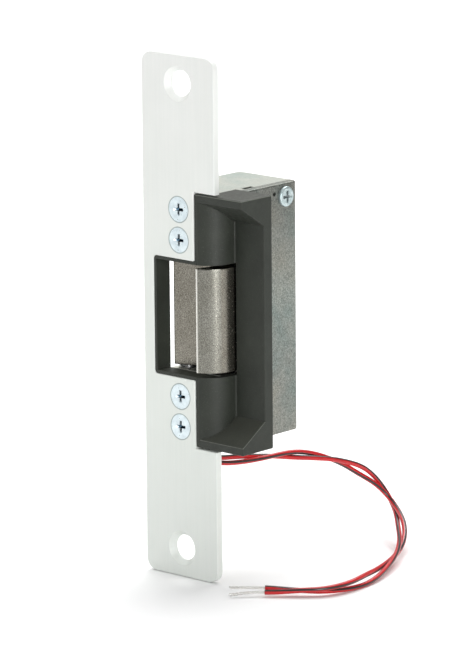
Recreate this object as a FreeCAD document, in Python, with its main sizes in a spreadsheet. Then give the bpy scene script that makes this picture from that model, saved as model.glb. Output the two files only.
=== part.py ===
import FreeCAD, Part
import math
import os
import re
import Sketcher

# Electric door strike with a 1-1/4 in by 6-7/8 in faceplate.
# Frame: +X towards the lip, +Y into the jamb, +Z up. The origin is the centre of the
# two mounting holes, on the faceplate's back face. All sizes are in millimetres.

Vector = FreeCAD.Vector
PARTS_FOLDER = "parts"

SIZES = [
    ("plate_width", 31.75), ("plate_height", 174.625), ("plate_thick", 2.4), ("plate_corner", 4.0),
    ("mount_spacing", 155.575), ("mount_hole_radius", 4.3), ("mount_sink_radius", 5.9),
    ("mount_sink_depth", 1.84), ("notch_left", 6.5), ("notch_half", 42.8625),
    ("opening_left", -11.4), ("opening_half", 19.9), ("opening_corner", 1.2),
    ("screw_inner", 26.2), ("screw_outer", 36.4), ("screw_head_radius", 4.15),
    ("screw_head_depth", 2.2), ("screw_shank_radius", 2.05), ("screw_length", 9.4),
    ("screw_hole_radius", 2.1), ("recess_arm", 4.9), ("recess_width", 1.0), ("recess_depth", 2.0),
    ("recess_floor", 0.75), ("soft_edge", 0.3), ("case_edge", 0.6),
    ("frame_left", -12.9), ("frame_thick", 3.6), ("lip_left", 6.9), ("lip_right", 27.3),
    ("lip_front", -2.1), ("lip_back", 12.9), ("lip_half", 42.3), ("block_left", 11.8),
    ("window_left", -10.3), ("window_half", 18.75), ("window_right", 15.0), ("rim_front", -2.2),
    ("rim_gap", 0.08), ("recess_back", 8.8), ("recess_edge", 0.3), ("bulge_left", 8.0),
    ("bulge_right", 14.6), ("bulge_shoulder", 0.3), ("bulge_radius", 9.3), ("bulge_root", 0.5), ("wing_front", 39.7), ("wing_back", 32.6),
    ("cheek_back", 4.2), ("cheek_half", 20.3), ("body_edge", 0.5),
    ("keeper_half", 17.5), ("pivot_x", -6.2), ("pivot_y", 8.0), ("barrel_radius", 3.0),
    ("pin_radius", 1.5), ("pin_bore_radius", 1.55), ("pin_half", 21.6),
    ("floor_left", -8.4), ("floor_front", 3.6), ("floor_right", 4.4), ("floor_deep", 8.15),
    ("root_x", 8.6), ("root_y", 6.2), ("tip_x", 6.3), ("tip_y", -2.0),
    ("keeper_right", 14.5), ("keeper_back", 10.6), ("keeper_nose", 0.4), ("keeper_nose_radius", 10.0),
    ("spine_x", 4.0), ("spine_y", 11.4), ("barrel_back", 11.0), ("heel_x", -8.6), ("heel_y", 6.2),
    ("notch_half_z", 6.0), ("notch_end", -1.0), ("notch_front_left", 4.15), ("notch_front_right", 7.25),
    ("lug_left", -1.0), ("lug_right", 5.4), ("lug_front", 10.6), ("lug_back", 14.6),
    ("lug_top", -11.5), ("lug_ramp_start", 11.2), ("lug_ramp_rise", 1.1),
    ("washer_radius", 2.8), ("washer_thick", 1.1), ("washer_gap", 0.1),
    ("case_left", -10.0), ("case_step", 11.7), ("case_right", 13.0), ("case_step_back", 13.0),
    ("case_back", 38.4), ("case_half", 42.1), ("case_wall", 1.6), ("case_end_wall", 1.8),
    ("case_window_half", 18.9), ("case_window_back", 11.8), ("ear_top", 21.2), ("ear_right", -3.4),
    ("ear_back", 11.2), ("boss_half", 4.4), ("boss_back", 9.4), ("boss_start", 21.9),
    ("cover_right", 15.9), ("cover_skin_left", 14.6), ("cover_rim", 1.5), ("cover_corner", 2.0),
    ("cover_screw_y", 32.2), ("cover_screw_z", 37.6), ("cover_boss_left", 5.0),
    ("cover_boss_front", 28.6), ("cover_boss_bottom", 34.3),
    ("cover_screw_radius", 1.4), ("cover_screw_head", 3.4), ("cover_screw_rise", 1.0),
    ("cover_screw_length", 8.5), ("cover_hole_radius", 1.45),
    ("slot_left", 11.2), ("slot_right", 13.1), ("slot_front", 15.4), ("slot_back", 20.4),
    ("coil_x", 2.2), ("coil_y", 23.5), ("coil_radius", 7.2), ("coil_bore", 4.0),
    ("wrap_thick", 0.25), ("flange_radius", 7.6), ("flange_thick", 0.8), ("tube_bore", 3.25),
    ("yoke_left", -6.0), ("yoke_right", 10.4), ("yoke_front", 16.4), ("yoke_back", 35.9),
    ("yoke_sheet", 1.6), ("yoke_bottom", -40.3), ("yoke_top", -26.8),
    ("ear_front", 30.3), ("ear_rise", -20.4), ("lever_pin_y", 32.5), ("lever_pin_z", -23.0),
    ("lever_pin_radius", 1.0), ("lever_bore_radius", 1.05), ("lever_barrel", 2.0),
    ("lever_left", -3.2), ("lever_right", 7.6), ("lever_top", -22.0), ("lever_bottom", -24.0),
    ("lever_slot_half_x", 3.4), ("lever_slot_half_y", 4.3), ("sear_left", 0.2), ("sear_right", 4.2),
    ("sear_front", 14.9), ("sear_back", 17.9), ("sear_top", -16.5),
    ("plunger_radius", 3.0), ("plunger_bottom", -33.0), ("plunger_top", -18.9),
    ("plunger_cup_radius", 2.1), ("plunger_cup_top", -29.0), ("plunger_hole_radius", 3.2),
    ("cross_pin_radius", 1.0), ("cross_pin_z", -20.9), ("cross_pin_half", 5.0),
    ("core_top", -36.0), ("core_radius", 3.2),
    ("spring_radius", 1.6), ("spring_wire", 0.22), ("spring_turns", 6.0),
    ("torsion_radius", 1.88), ("torsion_wire", 0.3), ("torsion_pitch", 1.0), ("torsion_full_turns", 5),
    ("torsion_floor_leg", 4.4), ("torsion_case_leg", 6.2),
    ("yoke_screw_x", 2.2), ("yoke_screw_top", -32.0), ("yoke_screw_radius", 1.2),
    ("exit_x", -4.0), ("exit_y", 12.8), ("grommet_radius", 3.2), ("grommet_neck", 2.55),
    ("grommet_lip", 1.5), ("wire_radius", 0.85), ("wire_spacing", 1.9), ("bare_radius", 0.5),
    ("bare_length", 12.2), ("splice_radius", 1.5), ("splice_bottom", -33.5), ("splice_length", 9.0),
]

doc = FreeCAD.newDocument("door_strike")


def fill_sheet():
    """Write every driving dimension to the sheet, one alias a row."""
    table = doc.addObject("Spreadsheet::Sheet", "Dim")
    for row, (alias, size) in enumerate(SIZES, start=1):
        table.set(f"A{row}", alias)
        table.set(f"B{row}", str(size))
        table.setAlias(f"B{row}", alias)
    doc.recompute()
    return table


sheet = fill_sheet()
finished = []


def value(text):
    """The number that an expression in the sheet's aliases gives."""
    return float(sheet.evalExpression(str(text)))


def bind(thing, prop, text):
    """Drive one property by an expression in the sheet's aliases."""
    thing.setExpression(prop, re.sub(r"([a-z][a-z_0-9]*)", r"Dim.\1", str(text)))


def keep(thing, label):
    """Mark a document object as a finished sub-part."""
    thing.Label = label
    finished.append(thing)
    return thing


def place(thing, x, y, z, axis="Z"):
    """Put a primitive at a point, with its own Z along the named axis."""
    turns = {"Z": (Vector(0, 0, 1), 0), "Y": (Vector(1, 0, 0), -90), "X": (Vector(0, 1, 0), 90),
             "-Y": (Vector(1, 0, 0), 90), "-X": (Vector(0, 1, 0), -90)}
    thing.Placement = FreeCAD.Placement(Vector(0, 0, 0), FreeCAD.Rotation(*turns[axis]))
    for letter, text in zip("xyz", (x, y, z)):
        bind(thing, f"Placement.Base.{letter}", text)
    return thing


def rod(name, radius, length, x, y, z, axis="Z"):
    """A cylinder."""
    thing = doc.addObject("Part::Cylinder", name)
    bind(thing, "Radius", radius)
    bind(thing, "Height", length)
    return place(thing, x, y, z, axis)


def cone(name, radius, end_radius, length, x, y, z, axis="Z"):
    """A cone that starts at the first radius."""
    thing = doc.addObject("Part::Cone", name)
    bind(thing, "Radius1", radius)
    bind(thing, "Radius2", end_radius)
    bind(thing, "Height", length)
    return place(thing, x, y, z, axis)


def block(name, low, high):
    """A box between two corners."""
    thing = doc.addObject("Part::Box", name)
    for prop, start, end in zip(("Length", "Width", "Height"), low, high):
        bind(thing, prop, f"({end}) - ({start})")
    return place(thing, *low)


def fuse(name, shapes):
    """One solid from several."""
    thing = doc.addObject("Part::MultiFuse", name)
    thing.Shapes = shapes
    return thing


def cut(name, base, tools):
    """The base with the tools taken away."""
    thing = doc.addObject("Part::Cut", name)
    thing.Base = base
    thing.Tool = tools[0] if len(tools) == 1 else fuse(name + "_tools", tools)
    doc.recompute()
    if not thing.Shape.Volume < base.Shape.Volume:
        raise ValueError(name + " takes nothing away")
    return thing


def group(name, shapes):
    """Several separate solids in one node."""
    thing = doc.addObject("Part::Compound", name)
    thing.Links = shapes
    return thing


def origin_plane(body, role):
    """A body's own origin plane, by its role."""
    return next(item for item in body.Origin.OriginFeatures if item.Role == role + "_Plane")


def outline(body, name, plane, start, corners):
    """A closed outline of straight edges, its corners driven by the sheet."""
    sketch = body.newObject("Sketcher::SketchObject", name)
    sketch.AttachmentSupport = (origin_plane(body, plane), [""])
    sketch.MapMode = "FlatFace"
    bind(sketch, "AttachmentOffset.Base.z", f"-({start})" if plane == "XZ" else start)
    points = [Vector(value(across), value(along), 0) for across, along in corners]
    count = len(points)
    for index in range(count):
        sketch.addGeometry(Part.LineSegment(points[index], points[(index + 1) % count]))
    for index in range(count):
        sketch.addConstraint(Sketcher.Constraint("Coincident", index, 2, (index + 1) % count, 1))
    for index, texts in enumerate(corners):
        for kind, text in zip(("DistanceX", "DistanceY"), texts):
            number = sketch.addConstraint(Sketcher.Constraint(kind, -1, 1, index, 1, value(text)))
            bind(sketch, f"Constraints[{number}]", text)
    return sketch


def extrude(body, name, plane, start, end, corners, away=False):
    """Add an outline's prism to a body, or take it away, from start to end along the plane's axis."""
    before = body.Shape.Volume if body.Tip else 0.0
    sketch = outline(body, name + "_outline", plane, start, corners)
    feature = body.newObject("PartDesign::Pocket" if away else "PartDesign::Pad", name)
    feature.Profile = sketch
    feature.Reversed = (plane == "XZ") != away
    bind(feature, "Length", f"({end}) - ({start})")
    doc.recompute()
    gained = body.Shape.Volume - before
    if (gained < 0) != away or abs(gained) < 0.01:
        raise ValueError(f"{body.Name}.{name} changed the volume by {gained:.3f}")
    return feature


def rectangle(low, high):
    """The four corners of an upright rectangle."""
    return [(low[0], low[1]), (high[0], low[1]), (high[0], high[1]), (low[0], high[1])]


def round_edges(body, name, radius, along, places):
    """Fillet the straight edges along an axis that pass through the given places."""
    base = body.Tip
    other = [number for number in range(3) if number != "XYZ".index(along)]
    targets = [tuple(value(text) for text in spot) for spot in places]
    names = []
    for number, edge in enumerate(base.Shape.Edges, start=1):
        first, last = edge.Vertexes[0].Point, edge.Vertexes[-1].Point
        if abs(edge.Length - first.distanceToPoint(last)) > 0.001:
            continue
        for target in targets:
            gaps = [abs(point[axis] - target[slot]) for point in (first, last) for slot, axis in enumerate(other)]
            if max(gaps) < 0.02:
                names.append(f"Edge{number}")
    if len(names) < len(targets):
        raise ValueError(f"{name}: {len(names)} edges for {len(targets)} places")
    fillet = body.newObject("PartDesign::Fillet", name)
    fillet.Base = (base, names)
    bind(fillet, "Radius", radius)
    doc.recompute()
    return fillet


def soften(body, name, radius, fits):
    """Fillet every edge of the body whose bounding box fits the rule."""
    base = body.Tip
    names = [f"Edge{number}" for number, edge in enumerate(base.Shape.Edges, start=1) if fits(edge.BoundBox)]
    fillet = body.newObject("PartDesign::Fillet", name)
    fillet.Base = (base, names)
    bind(fillet, "Radius", radius)
    doc.recompute()
    if not names or not fillet.Shape.isValid() or "Invalid" in fillet.State:
        raise ValueError(name + " can't be rounded")
    return fillet


def end_rim(half, fits):
    """A rule for soften: a level edge at the top or bottom, where the second rule holds too."""
    level = value(half)
    return lambda box: box.ZLength < 0.01 and abs(abs(box.ZMin) - level) < 0.01 and fits(box)


def new_body(name):
    return doc.addObject("PartDesign::Body", name)


def make_faceplate():
    """The flat plate: two countersunk mounting holes, four screw holes, the T-shaped cut-out."""
    body = new_body("plate_blank")
    extrude(body, "plate", "XZ", "-plate_thick", "0",
            [("-plate_width / 2", "-plate_height / 2"), ("plate_width / 2", "-plate_height / 2"),
             ("plate_width / 2", "-notch_half"), ("notch_left", "-notch_half"),
             ("notch_left", "-opening_half"), ("opening_left", "-opening_half"),
             ("opening_left", "opening_half"), ("notch_left", "opening_half"),
             ("notch_left", "notch_half"), ("plate_width / 2", "notch_half"),
             ("plate_width / 2", "plate_height / 2"), ("-plate_width / 2", "plate_height / 2")])
    round_edges(body, "corners", "plate_corner", "Y",
                [(f"{side}plate_width / 2", f"{end}plate_height / 2") for side in "+-" for end in "+-"])
    round_edges(body, "opening_corners", "opening_corner", "Y",
                [("opening_left", "opening_half"), ("opening_left", "-opening_half")])
    round_edges(body, "notch_corners", "opening_corner / 2", "Y",
                [("notch_left", f"{end}{edge}") for edge in ("notch_half", "opening_half") for end in "+-"])
    front = value("-plate_thick") + 0.01
    soften(body, "front_edges", "soft_edge", lambda box: box.YMax < front)
    tools = []
    for end in ("", "-"):
        level = f"{end}mount_spacing / 2"
        tools.append(rod("mount_hole", "mount_hole_radius", "plate_thick + 2", "0", "-plate_thick - 1", level, "Y"))
        tools.append(cone("mount_sink", "mount_sink_radius", "mount_hole_radius", "mount_sink_depth",
                          "0", "-plate_thick", level, "Y"))
        for spot in ("screw_inner", "screw_outer"):
            level = f"{end}{spot}"
            tools.append(rod("screw_hole", "screw_hole_radius + 0.1", "plate_thick + 2",
                             "0", "-plate_thick - 1", level, "Y"))
            tools.append(cone("screw_sink", "screw_head_radius + 0.08", "screw_shank_radius + 0.08",
                              "screw_head_depth", "0", "-plate_thick", level, "Y"))
    keep(cut("faceplate", body, tools), "faceplate")


def cross_recess(name, x, y, z, axis):
    """The tool that sinks a tapered cross recess into a screw head facing -Y or +X."""
    arm, slim = "recess_arm / 2", "recess_width / 2"
    blades = []
    for wide, tall in ((arm, slim), (slim, arm)):
        if axis == "Y":
            low = (f"{x} - {wide}", f"{y} - 0.5", f"{z} - {tall}")
            high = (f"{x} + {wide}", f"{y} + recess_depth", f"{z} + {tall}")
        else:
            low = (f"{x} - recess_depth", f"{y} - {wide}", f"{z} - {tall}")
            high = (f"{x} + 0.5", f"{y} + {wide}", f"{z} + {tall}")
        blades.append(block(name + "_blade", low, high))
    if axis == "Y":
        taper = cone(name + "_taper", arm, "recess_floor", "recess_depth + 0.5", x, f"{y} - 0.5", z, "Y")
    else:
        taper = cone(name + "_taper", "recess_floor", arm, "recess_depth + 0.5", f"{x} - recess_depth", y, z, "X")
    thing = doc.addObject("Part::MultiCommon", name)
    thing.Shapes = [fuse(name + "_cross", blades), taper]
    return [thing]


def make_body_screws():
    """Four flat-head cross-recess screws that clamp the plate, the strike body and the case."""
    screws = []
    for level in ("screw_outer", "screw_inner", "-screw_inner", "-screw_outer"):
        head = cone("head", "screw_head_radius", "screw_shank_radius", "screw_head_depth",
                    "0", "-plate_thick + 0.02", level, "Y")
        shank = rod("shank", "screw_shank_radius", "screw_length - screw_head_depth",
                    "0", "screw_head_depth - plate_thick + 0.02", level, "Y")
        solid = fuse("screw_blank", [head, shank])
        doc.recompute()
        screws.append(cut("body_screw", solid, cross_recess("recess", "0", "-plate_thick", level, "Y")))
    keep(group("body_screws", screws), "body_screws")


def make_strike_body():
    """The black casting: a frame behind the plate, the lip block and its curved recess."""
    body = new_body("strike_casting")
    section = [("frame_left", "0"), ("lip_left", "0"), ("lip_left", "lip_front"), ("lip_right", "lip_front"),
               ("lip_right", "lip_back"), ("block_left", "lip_back"), ("block_left", "frame_thick"),
               ("frame_left", "frame_thick")]
    extrude(body, "section", "XY", "-lip_half", "lip_half", section)
    left, right, front, back = (value("lip_" + name) for name in ("left", "right", "front", "back"))
    soften(body, "block_edges", "body_edge", lambda box: box.XMax > left + 0.1 and (
        box.YMax < front + 0.01 or box.XMin > right - 0.01 or box.YMin > back - 0.01))
    extrude(body, "recess", "YZ", "lip_left", "lip_right + 1",
            [("lip_front - 1", "-wing_front - 0.65"), ("recess_back", "-wing_back"),
             ("recess_back", "wing_back"), ("lip_front - 1", "wing_front + 0.65")], away=True)
    inside = value("lip_half - 1")
    soften(body, "recess_edges", "recess_edge", lambda box: max(-box.ZMin, box.ZMax) < inside and (
        box.XMin > right - 0.01 or (box.YMax < front + 0.01 and box.XMax > left + 0.1)))
    extrude(body, "bulge", "XY", "-lip_half + 0.5", "lip_half - 0.5",
            [("lip_left", "lip_front"), ("bulge_left", "lip_front"), ("bulge_right", "bulge_shoulder"),
             ("bulge_right", "recess_back + 0.5"),
             ("lip_left", "recess_back + 0.5")])
    round_edges(body, "bulge_front", "bulge_radius", "Z", [("bulge_right", "bulge_shoulder")])
    round_edges(body, "bulge_back", "bulge_root", "Z", [("bulge_right", "recess_back")])
    extrude(body, "behind_frame", "XY", "-lip_half - 1", "lip_half + 1",
            rectangle(("lip_left - 1", "frame_thick"), ("block_left", "lip_back + 1")), away=True)
    extrude(body, "cheek", "XY", "-cheek_half", "cheek_half",
            rectangle(("frame_left", "frame_thick - 0.5"), ("window_left", "cheek_back")))
    extrude(body, "rim", "XY", "-opening_half + rim_gap", "opening_half - rim_gap",
            rectangle(("opening_left + rim_gap", "rim_front"), ("lip_left + 0.5", "0.5")))
    round_edges(body, "rim_corners", "opening_corner", "Y",
                [("opening_left + rim_gap", f"{end}(opening_half - rim_gap)") for end in "+-"])
    extrude(body, "window", "XY", "-window_half", "window_half",
            rectangle(("window_left", "lip_front - 1"), ("window_right", "lip_back + 1")), away=True)
    holes = [rod("screw_way", "screw_hole_radius", "frame_thick + 2", "0", "-1", f"{end}{spot}", "Y")
             for end in ("", "-") for spot in ("screw_inner", "screw_outer")]
    keep(cut("strike_body", body, holes), "strike_body")


def make_keeper():
    """The swinging keeper: slanted floor, rounded lip, hinge barrel and the ramped locking lug."""
    body = new_body("keeper_casting")
    extrude(body, "section", "XY", "-keeper_half", "keeper_half",
            [("floor_left", "floor_front"), ("floor_right", "floor_deep"), ("root_x", "root_y"),
             ("tip_x", "tip_y"), ("keeper_right", "keeper_nose"), ("keeper_right", "keeper_back"),
             ("spine_x", "spine_y"), ("pivot_x", "barrel_back"), ("heel_x", "heel_y")])
    round_edges(body, "lip_outside", "keeper_nose_radius", "Z", [("keeper_right", "keeper_nose")])
    round_edges(body, "lip_tip", "0.5", "Z", [("tip_x", "tip_y")])
    round_edges(body, "pocket_corners", "2.5", "Z", [("floor_right", "floor_deep"), ("root_x", "root_y")])
    round_edges(body, "floor_edge", "0.5", "Z", [("floor_left", "floor_front"), ("keeper_right", "keeper_back")])
    soften(body, "end_edges", "soft_edge", end_rim("keeper_half", lambda box: True))
    extrude(body, "lug", "XY", "-keeper_half", "lug_top",
            rectangle(("lug_left", "lug_front"), ("lug_right", "lug_back")))
    extrude(body, "lug_ramp", "YZ", "lug_left - 1", "lug_right + 1",
            [("lug_ramp_start", "-keeper_half - 0.01"), ("lug_back + 0.1", "-keeper_half - 0.01"),
             ("lug_back + 0.1", "lug_ramp_rise - keeper_half")], away=True)
    barrel = rod("barrel", "barrel_radius", "2 * keeper_half", "pivot_x", "pivot_y", "-keeper_half")
    solid = fuse("keeper_blank", [body, barrel])
    doc.recompute()
    notch = new_body("spring_notch")
    extrude(notch, "space", "XY", "-notch_half_z", "notch_half_z",
            [("pivot_x - barrel_radius - 1", "notch_front_left"), ("notch_end", "notch_front_right"),
             ("notch_end", "spine_y + 1"), ("pivot_x - barrel_radius - 1", "spine_y + 1")])
    bore = rod("bore", "pin_bore_radius", "2 * keeper_half + 2", "pivot_x", "pivot_y", "-keeper_half - 1")
    keep(cut("keeper_solid", solid, [notch, bore]), "keeper")


def make_keeper_pin():
    keep(rod("keeper_pin", "pin_radius", "2 * pin_half", "pivot_x", "pivot_y", "-pin_half"), "keeper_pin")


def make_keeper_washers():
    """A thrust washer above and below the keeper, on its pin."""
    rings = []
    for level in ("keeper_half + washer_gap", "-keeper_half - washer_gap - washer_thick"):
        disc = rod("disc", "washer_radius", "washer_thick", "pivot_x", "pivot_y", level)
        hole = rod("disc_hole", "pin_radius", "washer_thick + 2", "pivot_x", "pivot_y", f"{level} - 1")
        rings.append(cut("washer", disc, [hole]))
    keep(group("keeper_washers", rings), "keeper_washers")


def helix_wire(radius, pitch, height, thickness):
    """A round wire wound into a helix about Z, from z = 0."""
    path = Part.makeHelix(pitch, height, radius)
    ring = Part.makeCircle(thickness, Vector(radius, 0, 0), Vector(0, 1, pitch / (2 * math.pi * radius)))
    return Part.Wire(path.Edges).makePipeShell([Part.Wire([ring])], True, True)


def make_keeper_spring():
    """The keeper's return spring: a coil on the pin, one leg on the case and one behind the floor."""
    radius, thickness, pitch = (value("torsion_" + name) for name in ("radius", "wire", "pitch"))
    slope = math.atan2(value("floor_deep - floor_front"), value("floor_right - floor_left"))
    turns = value("torsion_full_turns") + 0.25 + slope / (2 * math.pi)
    height = pitch * turns
    coil = helix_wire(radius, pitch, height, thickness)
    coil.translate(Vector(0, 0, -height / 2))
    coil.rotate(Vector(0, 0, 0), Vector(0, 0, 1), 180)
    along = Vector(math.cos(slope), math.sin(slope), 0)
    end = Vector(radius * math.sin(slope), -radius * math.cos(slope), height / 2)
    case_leg = Part.makeCylinder(thickness, value("torsion_case_leg"), Vector(-radius, 0, -height / 2),
                                 Vector(0, 1, 0))
    floor_leg = Part.makeCylinder(thickness, value("torsion_floor_leg"), end, along)
    thing = doc.addObject("Part::Feature", "keeper_spring")
    thing.Shape = Part.makeCompound([coil, case_leg, floor_leg])
    thing.Placement = FreeCAD.Placement(Vector(value("pivot_x"), value("pivot_y"), 0), FreeCAD.Rotation())
    keep(thing, "keeper_spring")


def make_case():
    """The cast case: five walls, hinge ears, screw bosses, keeper window and wire hole."""
    body = new_body("case_casting")
    extrude(body, "walls", "XY", "-case_half", "case_half",
            [("case_left", "frame_thick"), ("case_step", "frame_thick"), ("case_step", "case_step_back"),
             ("case_right", "case_step_back"), ("case_right", "case_back"), ("case_left", "case_back")])
    round_edges(body, "back_corner", "cover_corner", "Z", [("case_left", "case_back")])
    left, back = value("case_left + cover_corner") + 0.01, value("case_back - cover_corner") - 0.01
    soften(body, "end_edges", "case_edge", end_rim("case_half", lambda box: box.XMax < left or box.YMin > back))
    extrude(body, "hollow", "XY", "-case_half + case_end_wall", "case_half - case_end_wall",
            rectangle(("case_left + case_wall", "frame_thick + case_wall"),
                      ("case_right + 1", "case_back - case_end_wall")), away=True)
    extrude(body, "keeper_window", "XY", "-case_window_half", "case_window_half",
            rectangle(("case_left - 1", "frame_thick - 1"), ("case_step + 0.5", "case_window_back")), away=True)
    for name, low, high in (("upper", "case_window_half", "ear_top"), ("lower", "-ear_top", "-case_window_half")):
        extrude(body, name + "_ear", "XY", low, high,
                rectangle(("case_left + 0.5", "frame_thick + 0.5"), ("ear_right", "ear_back")))
    for name, low, high in (("upper", "boss_start", "case_half - 0.5"), ("lower", "0.5 - case_half", "-boss_start")):
        extrude(body, name + "_boss", "XY", low, high,
                rectangle(("-boss_half", "frame_thick + 0.5"), ("boss_half", "boss_back")))
    extrude(body, "cover_boss", "XY", "cover_boss_bottom", "case_half - 0.5",
            rectangle(("cover_boss_left", "cover_boss_front"), ("case_right", "case_back - 0.5")))
    extrude(body, "top_slot", "XY", "case_half - case_end_wall - 0.5", "case_half + 1",
            rectangle(("slot_left", "slot_front"), ("slot_right", "slot_back")), away=True)
    tools = [rod("screw_thread", "screw_hole_radius", "boss_back", "0", "0", f"{end}{spot}", "Y")
             for end in ("", "-") for spot in ("screw_inner", "screw_outer")]
    tools.append(rod("pin_way", "pin_radius", "2 * pin_half", "pivot_x", "pivot_y", "-pin_half"))
    tools.append(rod("cover_thread", "cover_hole_radius", "case_right - cover_boss_left",
                     "cover_boss_left + 1", "cover_screw_y", "cover_screw_z", "X"))
    tools.append(rod("wire_way", "grommet_neck", "case_end_wall + 2", "exit_x", "exit_y", "-case_half - 1"))
    for height in ("yoke_screw_top", "yoke_screw_top - 5"):
        tools.append(rod("yoke_thread", "yoke_screw_radius", "case_end_wall + 2",
                         "yoke_screw_x", "case_back - case_end_wall - 1", height, "Y"))
    keep(cut("case", body, tools), "case")


def make_case_cover():
    """The case's side cover: a thin skin with a rim that meets the case."""
    body = new_body("cover_sheet")
    extrude(body, "slab", "XY", "-case_half", "case_half",
            rectangle(("case_right", "lip_back + 0.1"), ("cover_right", "case_back")))
    round_edges(body, "back_corner", "cover_corner", "Z", [("cover_right", "case_back")])
    inner, back = value("case_right") + 0.01, value("case_back - cover_corner") - 0.01
    soften(body, "end_edges", "case_edge", end_rim("case_half", lambda box: box.XMin > inner or box.YMin > back))
    extrude(body, "inside", "XY", "-case_half + cover_rim", "case_half - cover_rim",
            rectangle(("case_right - 1", "lip_back + 0.1 + cover_rim"), ("cover_skin_left", "case_back - cover_rim")),
            away=True)
    extrude(body, "keeper_relief", "XY", "-case_window_half", "case_window_half",
            rectangle(("case_right - 1", "lip_back"), ("cover_skin_left", "lip_back + cover_rim + 1")), away=True)
    extrude(body, "screw_pad", "YZ", "case_right", "cover_skin_left + 0.2",
            rectangle(("cover_boss_front", "cover_boss_bottom"), ("case_back - cover_rim + 0.2",
                                                                  "case_half - cover_rim + 0.2")))
    holes = [rod("screw_way", "cover_hole_radius", "6", "case_right - 1", "cover_screw_y", "cover_screw_z", "X"),
             rod("vent", "0.7", "6", "case_right - 1", "cover_screw_y - 5.4", "cover_screw_z + 1.4", "X")]
    keep(cut("case_cover", body, holes), "case_cover")


def make_cover_screw():
    """The round-head cross-recess screw that holds the cover."""
    shank = rod("cover_shank", "cover_screw_radius", "cover_screw_length",
                "cover_right - cover_screw_length", "cover_screw_y", "cover_screw_z", "X")
    head = rod("cover_head", "cover_screw_head", "cover_screw_rise",
               "cover_right", "cover_screw_y", "cover_screw_z", "X")
    doc.recompute()
    crown = doc.addObject("Part::Fillet", "cover_crown")
    crown.Base = head
    rim = [number for number, edge in enumerate(head.Shape.Edges, start=1)
           if min(vertex.X for vertex in edge.Vertexes) > value("cover_right") + 0.5]
    crown.Edges = [(number, 0.7, 0.7) for number in rim]
    solid = fuse("cover_screw_blank", [shank, crown])
    doc.recompute()
    recess = cross_recess("cover_recess", "(cover_right + cover_screw_rise)", "cover_screw_y", "cover_screw_z", "X")
    keep(cut("cover_screw", solid, recess), "cover_screw")


def make_yoke():
    """The solenoid's folded steel yoke, with two ears for the lever's pin."""
    body = new_body("yoke_sheet_metal")
    extrude(body, "side", "YZ", "yoke_left", "yoke_right",
            [("yoke_front", "yoke_bottom"), ("yoke_back", "yoke_bottom"), ("yoke_back", "yoke_top"),
             ("yoke_front", "yoke_top"), ("yoke_front", "yoke_top - yoke_sheet"),
             ("yoke_back - yoke_sheet", "yoke_top - yoke_sheet"),
             ("yoke_back - yoke_sheet", "yoke_bottom + yoke_sheet"), ("yoke_front", "yoke_bottom + yoke_sheet")])
    for name, low, high in (("left", "yoke_left", "yoke_left + yoke_sheet"),
                            ("right", "yoke_right - yoke_sheet", "yoke_right")):
        extrude(body, name + "_ear", "YZ", low, high,
                rectangle(("ear_front", "yoke_top - 0.5"), ("yoke_back", "ear_rise")))
    tools = [rod("plunger_way", "plunger_hole_radius", "yoke_sheet + 2", "coil_x", "coil_y", "yoke_top - yoke_sheet - 1"),
             rod("core_way", "core_radius", "yoke_sheet + 2", "coil_x", "coil_y", "yoke_bottom - 1"),
             rod("pin_way", "lever_pin_radius", "yoke_right - yoke_left + 2",
                 "yoke_left - 1", "lever_pin_y", "lever_pin_z", "X")]
    for height in ("yoke_screw_top", "yoke_screw_top - 5"):
        tools.append(rod("yoke_thread", "yoke_screw_radius", "yoke_sheet + 2",
                         "yoke_screw_x", "yoke_back - yoke_sheet - 1", height, "Y"))
    keep(cut("solenoid_yoke", body, tools), "solenoid_yoke")


def make_bobbin():
    """The moulded bobbin: a tube with two flanges."""
    low, high = "yoke_bottom + yoke_sheet", "yoke_top - yoke_sheet"
    tube = rod("bobbin_tube", "coil_bore", f"({high}) - ({low})", "coil_x", "coil_y", low)
    floor = rod("bobbin_floor", "flange_radius", "flange_thick", "coil_x", "coil_y", low)
    roof = rod("bobbin_roof", "flange_radius", "flange_thick", "coil_x", "coil_y", f"{high} - flange_thick")
    solid = fuse("bobbin_blank", [tube, floor, roof])
    doc.recompute()
    bore = rod("bobbin_bore", "tube_bore", "40", "coil_x", "coil_y", f"{low} - 5")
    keep(cut("coil_bobbin", solid, [bore]), "coil_bobbin")


def ring(name, outer, inner, low, high):
    """A tube about the solenoid's axis."""
    solid = rod(name + "_outer", outer, f"({high}) - ({low})", "coil_x", "coil_y", low)
    hole = rod(name + "_inner", inner, f"({high}) - ({low}) + 2", "coil_x", "coil_y", f"({low}) - 1")
    return cut(name, solid, [hole])


def make_winding():
    low = "yoke_bottom + yoke_sheet + flange_thick"
    high = "yoke_top - yoke_sheet - flange_thick"
    keep(ring("coil_winding", "coil_radius", "coil_bore", low, high), "coil_winding")
    keep(ring("coil_tape", "coil_radius + wrap_thick", "coil_radius", low, high), "coil_tape")


def make_core():
    keep(rod("solenoid_core", "core_radius", "core_top - yoke_bottom", "coil_x", "coil_y", "yoke_bottom"),
         "solenoid_core")


def make_plunger():
    """The plunger, with a cup for its spring and a cross hole for its pin."""
    solid = rod("plunger_blank", "plunger_radius", "plunger_top - plunger_bottom",
                "coil_x", "coil_y", "plunger_bottom")
    cup = rod("spring_cup", "plunger_cup_radius", "plunger_cup_top - plunger_bottom + 1",
              "coil_x", "coil_y", "plunger_bottom - 1")
    cross = rod("cross_way", "cross_pin_radius", "2 * cross_pin_half", "coil_x - cross_pin_half",
                "coil_y", "cross_pin_z", "X")
    keep(cut("solenoid_plunger", solid, [cup, cross]), "solenoid_plunger")
    keep(rod("plunger_pin", "cross_pin_radius", "2 * cross_pin_half", "coil_x - cross_pin_half",
             "coil_y", "cross_pin_z", "X"), "plunger_pin")


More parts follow.
